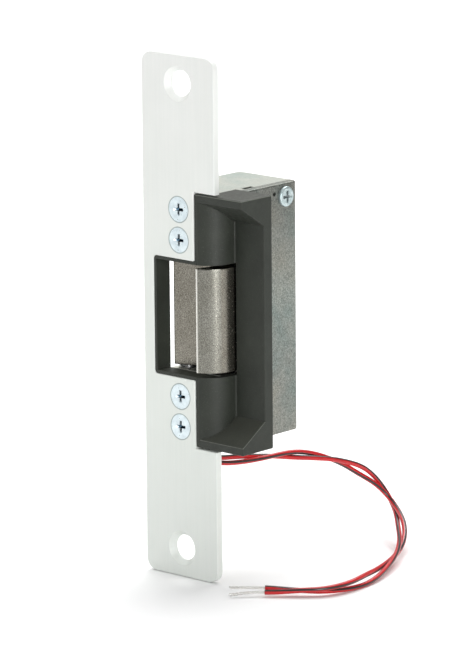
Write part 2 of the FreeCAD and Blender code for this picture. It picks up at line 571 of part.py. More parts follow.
def make_plunger_spring():
    """The compression spring between the core and the plunger's cup."""
    low, high = value("core_top + spring_wire + 0.02"), value("plunger_cup_top - spring_wire - 0.02")
    turns = value("spring_turns")
    shape = helix_wire(value("spring_radius"), (high - low) / turns, high - low, value("spring_wire"))
    thing = doc.addObject("Part::Feature", "plunger_spring")
    thing.Shape = shape
    thing.Placement = FreeCAD.Placement(Vector(value("coil_x"), value("coil_y"), low), FreeCAD.Rotation())
    keep(thing, "plunger_spring")


def make_lock_lever():
    """The locking lever: a plate on a cross pin, with the sear that stands behind the keeper's lug."""
    body = new_body("lever_plate")
    extrude(body, "plate", "YZ", "lever_left", "lever_right",
            rectangle(("sear_front", "lever_bottom"), ("lever_pin_y", "lever_top")))
    extrude(body, "plunger_slot", "XY", "lever_bottom - 1", "lever_top + 1",
            rectangle(("coil_x - lever_slot_half_x", "coil_y - lever_slot_half_y"),
                      ("coil_x + lever_slot_half_x", "coil_y + lever_slot_half_y")), away=True)
    extrude(body, "sear", "YZ", "sear_left", "sear_right",
            rectangle(("sear_front", "lever_bottom + 0.5"), ("sear_back", "sear_top")))
    for name, low, high in (("left", "lever_left", "sear_left"), ("right", "sear_right", "lever_right")):
        extrude(body, name + "_trim", "XY", "lever_bottom - 1", "lever_top + 1",
                rectangle((f"{low} - 0.01", "sear_front - 1"), (f"{high} + 0.01", "sear_front + 2")), away=True)
    barrel = rod("lever_barrel", "lever_barrel", "lever_right - lever_left",
                 "lever_left", "lever_pin_y", "lever_pin_z", "X")
    solid = fuse("lever_blank", [body, barrel])
    doc.recompute()
    bore = rod("lever_bore", "lever_bore_radius", "lever_right - lever_left + 2",
               "lever_left - 1", "lever_pin_y", "lever_pin_z", "X")
    keep(cut("lock_lever", solid, [bore]), "lock_lever")
    keep(rod("lever_pin", "lever_pin_radius", "yoke_right - yoke_left + 1", "yoke_left - 0.5",
             "lever_pin_y", "lever_pin_z", "X"), "lever_pin")


def make_yoke_screws():
    """Two screws through the case's back wall into the yoke."""
    screws = []
    for height in ("yoke_screw_top", "yoke_screw_top - 5"):
        head = rod("yoke_head", "2.1", "1.2", "yoke_screw_x", "case_back", height, "Y")
        shank = rod("yoke_shank", "yoke_screw_radius", "case_back - yoke_back + yoke_sheet",
                    "yoke_screw_x", "yoke_back - yoke_sheet", height, "Y")
        screws.append(fuse("yoke_screw", [head, shank]))
    keep(group("solenoid_screws", screws), "solenoid_screws")


def make_grommet():
    """The moulded grommet in the case's bottom wall, with a hole for each lead."""
    top = "-case_half + case_end_wall"
    neck = rod("grommet_body", "grommet_neck", "case_end_wall", "exit_x", "exit_y", "-case_half")
    outside = rod("grommet_outside", "grommet_radius", "grommet_lip", "exit_x", "exit_y", "-case_half - grommet_lip")
    inside = rod("grommet_inside", "grommet_radius", "1", "exit_x", "exit_y", top)
    solid = fuse("grommet_blank", [neck, outside, inside])
    doc.recompute()
    keep(cut("wire_grommet", solid, [lead_bore(side) for side in (1, -1)]), "wire_grommet")


def lead_bore(side):
    start = lead_start(side)
    return rod("lead_bore", "wire_radius", "8", f"{start.x}", f"{start.y}", "-case_half - grommet_lip - 1")


# The pair of leads hangs from the case, runs back, comes down and turns forward.
LEAD_ROUTE = [
    (-4.0, 12.8, -43.6), (-4.0, 12.8, -48.8), (-2.8, 17.0, -52.2), (1.5, 27.4, -52.8),
    (8.0, 45.7, -53.2), (13.0, 61.8, -57.6), (16.0, 75.0, -65.2), (18.2, 82.0, -73.4),
    (26.4, 78.6, -79.8), (37.3, 66.4, -83.7), (46.9, 48.7, -85.1), (55.1, 26.3, -85.4),
    (53.2, 11.0, -85.4), (45.1, 4.0, -85.5), (36.9, -2.6, -85.4),
]


def lead_points(side):
    """One lead's route: the pair's own, shifted sideways by half the spacing, mitred at its turns."""
    points = [Vector(*spot) for spot in LEAD_ROUTE]
    level = [Vector(end.x - start.x, end.y - start.y, 0) for start, end in zip(points, points[1:])]
    level[0] = level[1]
    for run in level:
        run.normalize()
    shifted = []
    for point, before, after in zip(points, level[:1] + level, level + level[-1:]):
        middle = (before + after).normalize()
        offset = side * value("wire_spacing") / 2 / middle.dot(before)
        shifted.append(point + Vector(middle.y, -middle.x, 0) * offset)
    return shifted


def lead_start(side):
    return lead_points(side)[0]


def rounded_path(points, name):
    """Straight runs joined by arcs, each as large as its two runs allow."""
    edges = []
    last = points[0]
    for before, corner, after in zip(points, points[1:], points[2:]):
        inward, outward = (corner - before), (after - corner)
        turn = inward.getAngle(outward)
        reach = 0.45 * min(inward.Length, outward.Length)
        radius = reach / math.tan(turn / 2)
        print(f"{name}: turn {math.degrees(turn):5.1f} deg, radius {radius:6.1f} mm")
        start = corner - inward.normalize() * reach
        end = corner + outward.normalize() * reach
        bisector = (end - corner) + (start - corner)
        middle = corner + bisector.normalize() * (radius / math.cos(turn / 2) - radius)
        edges.append(Part.LineSegment(last, start).toShape())
        edges.append(Part.Arc(start, middle, end).toShape())
        last = end
    edges.append(Part.LineSegment(last, points[-1]).toShape())
    return Part.Wire(edges)


def make_leads():
    """The two insulated leads and their bare tinned ends."""
    radius = value("wire_radius")
    for letter, side in (("a", 1), ("b", -1)):
        points = lead_points(side)
        path = rounded_path(points, "lead_" + letter)
        section = Part.Wire([Part.makeCircle(radius, points[0], points[1] - points[0])])
        shape = path.makePipeShell([section], True, False)
        expected = math.pi * radius ** 2 * path.Length
        print(f"lead_{letter}: length {path.Length:.1f}, volume {shape.Volume:.1f}, section x length {expected:.1f}")
        lead = doc.addObject("Part::Feature", "lead_wire_" + letter)
        lead.Shape = shape
        keep(lead, "lead_wire_" + letter)
        heading = (points[-1] - points[-2]).normalize()
        tip = doc.addObject("Part::Cylinder", "bare_end_" + letter)
        bind(tip, "Radius", "bare_radius")
        bind(tip, "Height", "bare_length")
        tip.Placement = FreeCAD.Placement(points[-1], FreeCAD.Rotation(Vector(0, 0, 1), heading))
        keep(tip, "bare_end_" + letter)


def make_splices():
    """The crimped sleeves that join the coil's ends to the leads, inside the case."""
    sleeves = []
    tails = []
    for side in (1, -1):
        start = lead_start(side)
        low = "-case_half - grommet_lip"
        tails.append(rod("lead_tail", "wire_radius", f"splice_bottom - ({low})", f"{start.x}", f"{start.y}", low))
        sleeves.append(rod("splice", "splice_radius", "splice_length",
                           f"{start.x} + {side} * 0.6", f"{start.y}", "splice_bottom"))
    keep(group("inner_leads", tails), "inner_leads")
    keep(group("wire_splices", sleeves), "wire_splices")


def write_parts():
    """Check every object, then write one STEP file for each sub-part."""
    doc.recompute()
    for item in doc.Objects:
        if "Invalid" in item.State or "Error" in item.State:
            raise RuntimeError(f"{item.Name} is {item.State}")
    for item in finished:
        shape = item.Shape
        if shape.isNull() or not shape.isValid() or not shape.Solids:
            raise RuntimeError(f"{item.Label} has no valid solid")
    os.makedirs(PARTS_FOLDER, exist_ok=True)
    for item in finished:
        item.Shape.exportStep(os.path.join(PARTS_FOLDER, item.Label + ".step"))
        box = item.Shape.optimalBoundingBox(False, False)
        print(f"{item.Label}: {len(item.Shape.Solids)} solids, {item.Shape.Volume:.1f} mm3, "
              f"X {box.XMin:.2f} {box.XMax:.2f} Y {box.YMin:.2f} {box.YMax:.2f} Z {box.ZMin:.2f} {box.ZMax:.2f}")


make_faceplate()
make_body_screws()
make_strike_body()
make_keeper()
make_keeper_pin()
make_keeper_washers()
make_keeper_spring()
make_case()
make_case_cover()
make_cover_screw()
make_yoke()
make_bobbin()
make_winding()
make_core()
make_plunger()
make_plunger_spring()
make_lock_lever()
make_yoke_screws()
make_grommet()
make_leads()
make_splices()
write_parts()
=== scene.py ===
import math

import bmesh
import bpy
from mathutils import Matrix, Vector


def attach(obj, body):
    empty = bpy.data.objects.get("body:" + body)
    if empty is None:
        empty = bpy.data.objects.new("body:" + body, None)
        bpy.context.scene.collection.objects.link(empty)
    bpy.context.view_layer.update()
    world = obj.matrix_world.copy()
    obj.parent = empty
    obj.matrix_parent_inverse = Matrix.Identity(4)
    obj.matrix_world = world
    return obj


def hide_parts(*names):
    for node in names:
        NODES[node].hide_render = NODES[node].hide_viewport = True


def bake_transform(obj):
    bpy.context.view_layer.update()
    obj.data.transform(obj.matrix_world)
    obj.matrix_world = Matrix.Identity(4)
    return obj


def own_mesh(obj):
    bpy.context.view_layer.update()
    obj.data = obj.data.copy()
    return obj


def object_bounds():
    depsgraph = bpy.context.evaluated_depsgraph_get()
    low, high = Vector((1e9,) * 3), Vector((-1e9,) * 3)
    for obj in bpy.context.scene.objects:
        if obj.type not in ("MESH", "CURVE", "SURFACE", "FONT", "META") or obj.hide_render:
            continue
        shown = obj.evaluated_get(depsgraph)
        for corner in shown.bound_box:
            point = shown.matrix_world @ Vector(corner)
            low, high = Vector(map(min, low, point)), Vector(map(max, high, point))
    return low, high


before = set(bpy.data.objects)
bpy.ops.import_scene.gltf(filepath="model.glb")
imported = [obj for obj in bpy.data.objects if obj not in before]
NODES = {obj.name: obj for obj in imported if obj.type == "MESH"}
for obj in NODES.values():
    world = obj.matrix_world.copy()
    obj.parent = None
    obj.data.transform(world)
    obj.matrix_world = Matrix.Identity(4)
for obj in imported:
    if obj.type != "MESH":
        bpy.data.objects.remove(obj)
cad_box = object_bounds()

scene = bpy.context.scene
scene.view_settings.view_transform = "Standard"
scene.view_settings.look = "None"
scene.view_settings.exposure = 0.0
scene.view_settings.gamma = 1.0


# Camera

CAMERA_AZIMUTH = math.radians(42.317)
CAMERA_ELEVATION = math.radians(12.467)
CAMERA_ROLL = math.radians(-0.5)
CAMERA_DISTANCE = 1.56327
CAMERA_LENS = 260.85
CAMERA_SHIFT_RIGHT = 0.015879
CAMERA_SHIFT_UP = -0.003561
PLATE_FRONT = Vector((0.0, -0.0024, 0.0))


def make_camera():
    back = Vector((math.sin(CAMERA_AZIMUTH) * math.cos(CAMERA_ELEVATION),
                   -math.cos(CAMERA_AZIMUTH) * math.cos(CAMERA_ELEVATION),
                   math.sin(CAMERA_ELEVATION)))
    right = Vector((math.cos(CAMERA_AZIMUTH), math.sin(CAMERA_AZIMUTH), 0.0))
    up = back.cross(right)
    turned_right = right * math.cos(CAMERA_ROLL) + up * math.sin(CAMERA_ROLL)
    turned_up = up * math.cos(CAMERA_ROLL) - right * math.sin(CAMERA_ROLL)
    data = bpy.data.cameras.new("camera")
    data.sensor_width = 36.0
    data.lens = CAMERA_LENS
    data.clip_start = 0.05
    data.clip_end = 20.0
    camera = bpy.data.objects.new("camera", data)
    place = (back * CAMERA_DISTANCE + turned_right * CAMERA_SHIFT_RIGHT + turned_up * CAMERA_SHIFT_UP
             + PLATE_FRONT)
    turn = Matrix((turned_right, turned_up, back)).transposed().to_4x4()
    camera.matrix_world = Matrix.Translation(place) @ turn
    scene.collection.objects.link(camera)
    scene.camera = camera


make_camera()


# Materials

# The colour sockets of a Mix node.
MIX_FACTOR, MIX_FIRST, MIX_SECOND, MIX_RESULT = 0, 6, 7, 2

# The slot in the case's top, which gets a painted shade, and the faceplate screws, which get a painted shade
# ring round each: two pairs, above and below the middle.
TOP_SLOT = (("X", 0.0110, 0.0131), ("Y", 0.0152, 0.0206), ("Z", 0.0370, 0.0418))
SCREW_PAIR_HEIGHT = 0.0313
SCREW_PAIR_HALF = 0.0051

# How far the tracer stripe's edge wanders, as a share of the way round a lead.
STRIPE_WOBBLE = 0.02

# The height over which the case's tone changes.
CASE_BOTTOM, CASE_TOP = -0.0421, 0.0421


class Nodes:
    """A material's node tree, with short calls for the few node kinds used here."""

    def __init__(self, name):
        self.material = bpy.data.materials.new(name)
        self.material.use_nodes = True
        self.tree = self.material.node_tree
        self.shader = self.tree.nodes["Principled BSDF"]
        self.place = self.add("ShaderNodeTexCoord").outputs["Object"]

    def add(self, kind, **settings):
        node = self.tree.nodes.new(kind)
        for key, value in settings.items():
            setattr(node, key, value)
        return node

    def link(self, start, end):
        self.tree.links.new(start, end)

    def noise(self, scale, detail=4.0, roughness=0.55, stretch=None):
        node = self.add("ShaderNodeTexNoise")
        node.inputs["Scale"].default_value = scale
        node.inputs["Detail"].default_value = detail
        node.inputs["Roughness"].default_value = roughness
        self.link(self.stretched(stretch), node.inputs["Vector"])
        return node.outputs["Fac"]

    def cells(self, scale):
        node = self.add("ShaderNodeTexVoronoi")
        node.inputs["Scale"].default_value = scale
        self.link(self.place, node.inputs["Vector"])
        return node.outputs["Distance"]

    def stretched(self, stretch):
        if stretch is None:
            return self.place
        node = self.add("ShaderNodeMapping")
        node.inputs["Scale"].default_value = stretch
        self.link(self.place, node.inputs["Vector"])
        return node.outputs["Vector"]

    def ramp(self, source, stops):
        node = self.add("ShaderNodeValToRGB")
        elements = node.color_ramp.elements
        while len(elements) < len(stops):
            elements.new(0.5)
        for element, (place, colour) in zip(elements, stops):
            element.position = place
            element.color = (*colour, 1.0) if len(colour) == 3 else colour
        self.link(source, node.inputs["Fac"])
        return node.outputs["Color"]

    def values(self, source, low, high, start=0.3, end=0.7):
        node = self.add("ShaderNodeMapRange")
        for key, value in (("From Min", start), ("From Max", end), ("To Min", low), ("To Max", high)):
            node.inputs[key].default_value = value
        self.link(source, node.inputs["Value"])
        return node.outputs["Result"]

    def mix(self, factor, first, second, blend="MIX"):
        node = self.add("ShaderNodeMix", data_type="RGBA", blend_type=blend)
        for place, value in ((MIX_FACTOR, factor), (MIX_FIRST, first), (MIX_SECOND, second)):
            self.give(node.inputs[place], value)
        return node.outputs[MIX_RESULT]

    def give(self, socket, value):
        """Links an output, or sets a colour or a number, on a socket."""
        if hasattr(value, "is_linked"):
            self.link(value, socket)
        elif isinstance(value, tuple):
            socket.default_value = (*value, 1.0)
        else:
            socket.default_value = value

    def position(self, axis):
        node = self.add("ShaderNodeSeparateXYZ")
        self.link(self.place, node.inputs["Vector"])
        return node.outputs[axis]

    def math(self, operation, first, second=0.0):
        node = self.add("ShaderNodeMath", operation=operation)
        self.give(node.inputs[0], first)
        self.give(node.inputs[1], second)
        return node.outputs["Value"]

    def painted_slot_shade(self):
        """1 down inside the slot in the case's top, else 0: where the slot's painted shade goes."""
        inside = 1.0
        for axis, low, high in TOP_SLOT:
            place = self.position(axis)
            above = self.math("GREATER_THAN", place, low)
            below = self.math("LESS_THAN", place, high)
            inside = self.math("MULTIPLY", inside, self.math("MULTIPLY", above, below))
        return inside

    def from_screws(self):
        """The distance, in mm, from the nearest faceplate screw's axis."""
        height = self.math("ABSOLUTE", self.position("Z"))
        level = self.math("ABSOLUTE", self.math("SUBTRACT", height, SCREW_PAIR_HEIGHT))
        across = self.math("POWER", self.math("ABSOLUTE", self.position("X")), 2.0)
        along = self.math("POWER", self.math("SUBTRACT", level, SCREW_PAIR_HALF), 2.0)
        return self.math("MULTIPLY", self.math("SQRT", self.math("ADD", across, along)), 1000.0)

    def facing(self, axis):
        """How far the surface faces along an axis, from -1 to 1."""
        node = self.add("ShaderNodeSeparateXYZ")
        self.link(self.add("ShaderNodeNewGeometry").outputs["Normal"], node.inputs["Vector"])
        return node.outputs[axis]

    def bump(self, height, strength, distance, before=None):
        node = self.add("ShaderNodeBump")
        node.inputs["Strength"].default_value = strength
        node.inputs["Distance"].default_value = distance
        self.link(height, node.inputs["Height"])
        if before is not None:
            self.link(before, node.inputs["Normal"])
        return node.outputs["Normal"]

    def finish(self, colour, rough, normal=None, metallic=0.0, **fixed):
        for socket, value in (("Base Color", colour), ("Roughness", rough), ("Normal", normal)):
            if value is not None:
                self.give(self.shader.inputs[socket], value)
        self.shader.inputs["Metallic"].default_value = metallic
        for key, value in fixed.items():
            self.shader.inputs[key.replace("_", " ")].default_value = value
        return self.material


def enamel():
    """Off-white enamel: painted shade that makes it a touch darker towards the foot, fine orange peel, and a
    painted shade ring round each screw.
    """
    n = Nodes("faceplate_enamel")
    # Painted shade: the enamel's colour is a touch darker towards the foot.
    along = n.values(n.position("Z"), 0.0, 1.0, -0.09, 0.09)
    base = n.ramp(along, [(0.0, (0.655, 0.682, 0.650)), (0.45, (0.715, 0.745, 0.708)),
                          (1.0, (0.765, 0.772, 0.752))])
    cloud = n.ramp(n.noise(55, 3), [(0.3, (0.965, 0.97, 0.965)), (0.7, (1.0, 1.0, 1.0))])
    streak = n.ramp(n.noise(1, 3, 0.6, stretch=(1400, 1400, 28)),
                    [(0.35, (0.975, 0.98, 0.98)), (0.65, (1.0, 1.0, 1.0))])
    colour = n.mix(1.0, n.mix(1.0, base, cloud, "MULTIPLY"), streak, "MULTIPLY")
    specks = n.ramp(n.cells(420), [(0.035, (0.72, 0.72, 0.70)), (0.06, (1.0, 1.0, 1.0))])
    sparse = n.ramp(n.noise(60, 2), [(0.60, (0.0, 0.0, 0.0)), (0.68, (1.0, 1.0, 1.0))])
    colour = n.mix(sparse, colour, n.mix(1.0, colour, specks, "MULTIPLY"))
    # Painted shade: a dark bluish ring round each screw, where the countersink's gap lies in shadow.
    ring = n.ramp(n.math("MULTIPLY", n.from_screws(), 0.1),
                  [(0.412, (1, 1, 1)), (0.422, (0, 0, 0)), (0.436, (0.2, 0.2, 0.2)), (0.462, (1, 1, 1))])
    colour = n.mix(ring, n.mix(1.0, colour, (0.34, 0.41, 0.43), "MULTIPLY"), colour)
    rough = n.values(n.noise(240, 3), 0.36, 0.50)
    peel = n.bump(n.noise(1500, 2), 0.10, 0.00006)
    return n.finish(colour, rough, peel, 0.0, Specular_IOR_Level=0.45)


def casting_black():
    """Satin black paint over a die casting: greenish black, a fine grain and dust, with painted light on
    faces that look upward and painted highlights on faces tilted part way up, as on rounded edges.
    """
    n = Nodes("black_casting")
    base = n.ramp(n.noise(90, 4), [(0.3, (0.022, 0.025, 0.020)), (0.7, (0.031, 0.035, 0.028))])
    dust = n.ramp(n.noise(2600, 3, 0.7), [(0.58, (0.0, 0.0, 0.0)), (0.75, (0.030, 0.032, 0.028))])
    colour = n.mix(1.0, base, dust, "ADD")
    upward = n.facing("Z")
    # Painted light: faces that look upward are made lighter.
    painted_top_light = n.values(upward, 0.0, 1.0, 0.74, 0.82)
    colour = n.mix(painted_top_light, colour, n.mix(1.0, colour, (0.022, 0.022, 0.018), "ADD"))
    # Painted highlight: faces tilted part way up, as on the rounded edges, are made lighter.
    painted_edge_highlight = n.math("MULTIPLY", n.values(upward, 0.0, 1.0, 0.20, 0.34),
                    n.values(upward, 1.0, 0.0, 0.62, 0.74))
    colour = n.mix(painted_edge_highlight, colour, n.mix(1.0, colour, (0.10, 0.105, 0.092), "ADD"))
    rough = n.values(n.noise(700, 4, 0.6), 0.40, 0.54)
    fine = n.bump(n.noise(3400, 3, 0.6), 0.22, 0.00005)
    broad = n.bump(n.noise(260, 2), 0.10, 0.00012, fine)
    return n.finish(colour, rough, broad, 0.0, Specular_IOR_Level=0.27)


def sintered():
    """Nickel-plated sintered steel: a dense dark grain, a painted highlight along the lip's tip and a warmer
    slanted floor.
    """
    n = Nodes("sintered_keeper")
    grain = n.noise(3000, 5, 0.78)
    base = n.ramp(grain, [(0.30, (0.065, 0.062, 0.052)), (0.44, (0.18, 0.176, 0.153)),
                          (0.58, (0.32, 0.316, 0.280)), (0.74, (0.62, 0.615, 0.555))])
    pores = n.ramp(n.cells(2100), [(0.10, (0.50, 0.46, 0.41)), (0.24, (1.0, 1.0, 1.0))])
    broad = n.ramp(n.noise(150, 3), [(0.3, (0.88, 0.87, 0.85)), (0.7, (1.0, 1.0, 1.0))])
    colour = n.mix(1.0, n.mix(1.0, base, pores, "MULTIPLY"), broad, "MULTIPLY")
    # Painted highlight: a bright line along the lip's tip.
    tip = n.math("MULTIPLY", n.values(n.position("Y"), 1.0, 0.0, -0.0016, -0.0009),
                 n.values(n.position("X"), 1.0, 0.0, 0.0070, 0.0076))
    colour = n.mix(tip, colour, (0.86, 0.85, 0.79))
    floor_side = n.values(n.position("Y"), 0.0, 1.0, 0.0030, 0.0036)
    part_way = n.math("MULTIPLY", floor_side, 0.55)
    colour = n.mix(part_way, colour, n.mix(1.0, colour, (1.02, 0.95, 0.90), "MULTIPLY"))
    rough = n.values(n.noise(1900, 4, 0.7), 0.17, 0.29)
    rugged = n.bump(grain, 0.30, 0.00007)
    return n.finish(colour, rough, rugged, 1.0)


def bare_zinc(name, light, contrast, metallic):
    """Tumbled zinc die casting: grey with a fine spangle and slow cool and warm clouds, and a painted shade
    down in the slot in the case's top.
    """
    n = Nodes(name)
    mottle = n.noise(2100, 5, 0.75)
    low, middle, high = light * (1 - contrast), light, light * (1 + contrast)
    base = n.ramp(mottle, [(0.32, (low * 0.96, low, low * 0.99)), (0.50, (middle, middle, middle * 0.97)),
                           (0.68, (high, high, high * 0.96))])
    broad = n.ramp(n.noise(52, 3, 0.6), [(0.30, (0.72, 0.84, 0.84)), (0.5, (0.98, 0.99, 0.97)),
                                         (0.70, (1.04, 1.0, 0.94))])
    height = n.ramp(n.values(n.position("Z"), 0.0, 1.0, CASE_BOTTOM, CASE_TOP),
                    [(0.0, (1.0, 1.0, 0.94)), (0.30, (0.98, 1.03, 0.99)), (0.55, (1.10, 1.17, 1.12)),
                     (0.80, (0.90, 0.93, 0.89)), (0.93, (0.74, 0.76, 0.72))])
    colour = n.mix(1.0, n.mix(1.0, base, broad, "MULTIPLY"), height, "MULTIPLY")
    # Painted shade: the slot in the case's top is coloured near black, as if it lay in shadow.
    colour = n.mix(n.painted_slot_shade(), colour, (0.012, 0.012, 0.011))
    rough = n.values(n.noise(800, 4, 0.65), 0.36, 0.56)
    pits = n.bump(n.cells(1500), 0.16, 0.00005)
    rugged = n.bump(mottle, 0.22, 0.00005, pits)
    return n.finish(colour, rough, rugged, metallic)


def zinc_screw():
    """What both kinds of screw share: blue-white zinc plating with fine turning marks."""
    n = Nodes("zinc_screw")
    base = n.ramp(n.noise(500, 4), [(0.3, (0.58, 0.67, 0.71)), (0.7, (0.76, 0.85, 0.88))])
    rough = n.values(n.noise(900, 3), 0.26, 0.42)
    marks = n.bump(n.noise(1, 3, 0.6, stretch=(2600, 500, 2600)), 0.12, 0.00004)
    return n, base, rough, marks


def faceplate_screw():
    """Zinc plating, with a painted dark bluish shade down in the recess."""
    n, base, rough, marks = zinc_screw()
    n.material.name = "faceplate_screw"
    # Painted shade: dark and bluish down in the recess.
    painted_recess_shade = n.values(n.position("Y"), 0.0, 1.0, -0.00228, -0.00150)
    colour = n.mix(painted_recess_shade, base, (0.012, 0.045, 0.075))
    return n.finish(colour, rough, marks, 0.55)


def case_screw():
    """Zinc plating worn in patches, with a painted grey shade down in the recess."""
    n, base, rough, marks = zinc_screw()
    n.material.name = "case_screw"
    # Painted shade: grey below the head's face, down in the recess.
    height = n.values(n.position("X"), 1.0, 0.0, 0.0158, 0.0165)
    wear = n.ramp(n.noise(900, 4, 0.7), [(0.35, (0.52, 0.58, 0.56)), (0.65, (0.96, 0.96, 0.93))])
    worn = n.mix(1.0, base, wear, "MULTIPLY")
    colour = n.mix(height, worn, (0.313, 0.346, 0.357))
    return n.finish(colour, rough, marks, 0.6)


def metal(name, colour, rough, grain=900, metallic=1.0):
    """Turned or rolled metal with fine tool marks."""
    n = Nodes(name)
    dark = tuple(0.82 * part for part in colour)
    base = n.ramp(n.noise(grain, 4), [(0.3, dark), (0.7, colour)])
    marks = n.bump(n.noise(grain * 2.5, 3), 0.12, 0.00004)
    return n.finish(base, n.values(n.noise(grain, 3), rough - 0.06, rough + 0.10), marks, metallic)


def plastic(name, colour, rough):
    """A moulded plastic with slight mottle and a fine mould texture."""
    n = Nodes(name)
    dark = tuple(0.86 * part for part in colour)
    base = n.ramp(n.noise(300, 3), [(0.3, dark), (0.7, colour)])
    texture = n.bump(n.noise(2200, 2), 0.12, 0.00004)
    return n.finish(base, n.values(n.noise(900, 3), rough - 0.06, rough + 0.08), texture)


def winding():
    """Enamelled copper wire: fine level turns."""
    n = Nodes("copper_winding")
    node = n.add("ShaderNodeTexWave", bands_direction="Z")
    node.inputs["Scale"].default_value = 620.0
    node.inputs["Distortion"].default_value = 0.3
    n.link(n.place, node.inputs["Vector"])
    turns = node.outputs["Fac"]
    base = n.ramp(turns, [(0.0, (0.10, 0.028, 0.012)), (0.6, (0.45, 0.155, 0.06)), (1.0, (0.62, 0.26, 0.12))])
    return n.finish(base, 0.32, n.bump(turns, 0.5, 0.0001), 0.85)


def red_colour(n):
    return n.ramp(n.noise(180, 3), [(0.3, (0.43, 0.006, 0.009)), (0.7, (0.53, 0.011, 0.014))])


def red_surface(n):
    """The insulation's roughness and normal."""
    return n.values(n.noise(700, 3), 0.28, 0.40), n.bump(n.noise(500, 3), 0.10, 0.00005)


def insulation():
    """Glossy red insulation with a black tracer stripe along it."""
    n = Nodes("red_insulation")
    red = red_colour(n)
    node = n.add("ShaderNodeUVMap", uv_map="around")
    split = n.add("ShaderNodeSeparateXYZ")
    n.link(node.outputs["UV"], split.inputs["Vector"])
    edge = n.noise(900, 2)
    wobble = n.add("ShaderNodeMath", operation="MULTIPLY_ADD")
    wobble.inputs[1].default_value = STRIPE_WOBBLE
    n.link(edge, wobble.inputs[0])
    n.link(split.outputs["X"], wobble.inputs[2])
    stripe = n.ramp(wobble.outputs["Value"], [(0.425, (0, 0, 0)), (0.445, (1, 1, 1)),
                                              (0.575, (1, 1, 1)), (0.595, (0, 0, 0))])
    colour = n.mix(stripe, red, (0.018, 0.016, 0.015))
    return n.finish(colour, *red_surface(n), 0.0, Coat_Weight=0.15, Coat_Roughness=0.3)


def plain_insulation():
    """The same insulation without its stripe, for the hidden inner ends."""
    n = Nodes("inner_insulation")
    return n.finish(red_colour(n), *red_surface(n))


LOOKS = {
    "faceplate": enamel(),
    "body_screws": faceplate_screw(),
    "cover_screw": case_screw(),
    "strike_body": casting_black(),
    "keeper": sintered(),
}
CASE_ZINC = bare_zinc("case_zinc", 0.56, 0.16, 0.35)
COVER_ZINC = bare_zinc("cover_zinc", 0.262, 0.60, 0.75)
STEEL = metal("bright_steel", (0.60, 0.60, 0.61), 0.28)
YOKE = metal("plated_yoke", (0.58, 0.57, 0.52), 0.36, 500)
SPRING = metal("spring_steel", (0.40, 0.40, 0.41), 0.30, 1400)
NYLON = plastic("natural_nylon", (0.74, 0.70, 0.60), 0.45)
BLACK = plastic("black_nylon", (0.022, 0.022, 0.022), 0.48)
SLEEVE = plastic("splice_sleeve", (0.72, 0.71, 0.67), 0.40)
TAPE = plastic("coil_tape", (0.66, 0.50, 0.10), 0.30)
COPPER = winding()
RED = insulation()
INNER_RED = plain_insulation()
TINNED = metal("tinned_copper", (0.78, 0.77, 0.74), 0.34, 1500, 0.75)
LOOKS.update({
    "case": CASE_ZINC, "case_cover": COVER_ZINC,
    "keeper_pin": STEEL, "keeper_washers": STEEL, "keeper_spring": SPRING,
    "solenoid_yoke": YOKE, "coil_bobbin": NYLON, "coil_winding": COPPER, "coil_tape": TAPE,
    "solenoid_core": STEEL, "solenoid_plunger": STEEL, "plunger_pin": STEEL, "plunger_spring": SPRING,
    "lock_lever": YOKE, "lever_pin": STEEL,
    "solenoid_screws": metal("yoke_screw", (0.62, 0.67, 0.72), 0.3, 700, 0.8),
    "wire_grommet": BLACK, "inner_leads": INNER_RED, "wire_splices": SLEEVE,
})

for node_name, look in LOOKS.items():
    node_object = NODES[node_name]
    node_object.data.materials.clear()
    node_object.data.materials.append(look)


# Springs: copies of the two CAD springs, each with a mesh of its own

def spring_copy(node_name, name):
    source = NODES[node_name]
    thing = bpy.data.objects.new(name, source.data.copy())
    thing.data.materials.clear()
    thing.data.materials.append(SPRING)
    scene.collection.objects.link(thing)
    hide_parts(node_name)
    return thing


return_spring = spring_copy("keeper_spring", "return_spring")
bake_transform(return_spring)
push_spring = spring_copy("plunger_spring", "push_spring")
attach(push_spring, "housing")
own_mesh(push_spring)


# Leads: a loosely twisted pair along one smooth route

LEAD_ROUTE = [
    (-4.0, 12.8, -43.6), (-4.0, 12.8, -48.8), (-2.8, 17.0, -52.2), (1.5, 27.4, -52.8),
    (8.0, 45.7, -53.2), (13.0, 61.8, -57.6), (16.0, 75.0, -65.2), (18.2, 82.0, -73.4),
    (26.4, 78.6, -79.8), (37.3, 66.4, -83.7), (46.9, 48.7, -85.1), (55.1, 26.3, -85.4),
    (53.2, 11.0, -85.4), (45.1, 4.0, -85.5), (36.9, -2.6, -85.4),
]
WIRE_RADIUS = 0.00085
BARE_LENGTH = 0.0122
LEAD_STEP = 0.0008
TOUCHING = 0.00089
STRAND_RADIUS = 0.00016
STRAND_PITCH_RADIUS = 0.00031
STRAND_SHORTER = 0.0005
STRANDS_INSIDE = 0.0004


def route_points():
    """The smooth centreline of the pair, read from a NURBS curve with the route as its control points."""
    data = bpy.data.curves.new("lead_route", "CURVE")
    data.dimensions = "3D"
    data.resolution_u = 24
    spline = data.splines.new("NURBS")
    spline.points.add(len(LEAD_ROUTE) - 1)
    for point, spot in zip(spline.points, LEAD_ROUTE):
        point.co = (*(0.001 * part for part in spot), 1.0)
    spline.order_u = 3
    spline.use_endpoint_u = True
    holder = bpy.data.objects.new("lead_route", data)
    scene.collection.objects.link(holder)
    bpy.context.view_layer.update()
    mesh = bpy.data.meshes.new_from_object(holder.evaluated_get(bpy.context.evaluated_depsgraph_get()))
    points = [vertex.co.copy() for vertex in mesh.vertices]
    bpy.data.objects.remove(holder)
    bpy.data.meshes.remove(mesh)
    return points


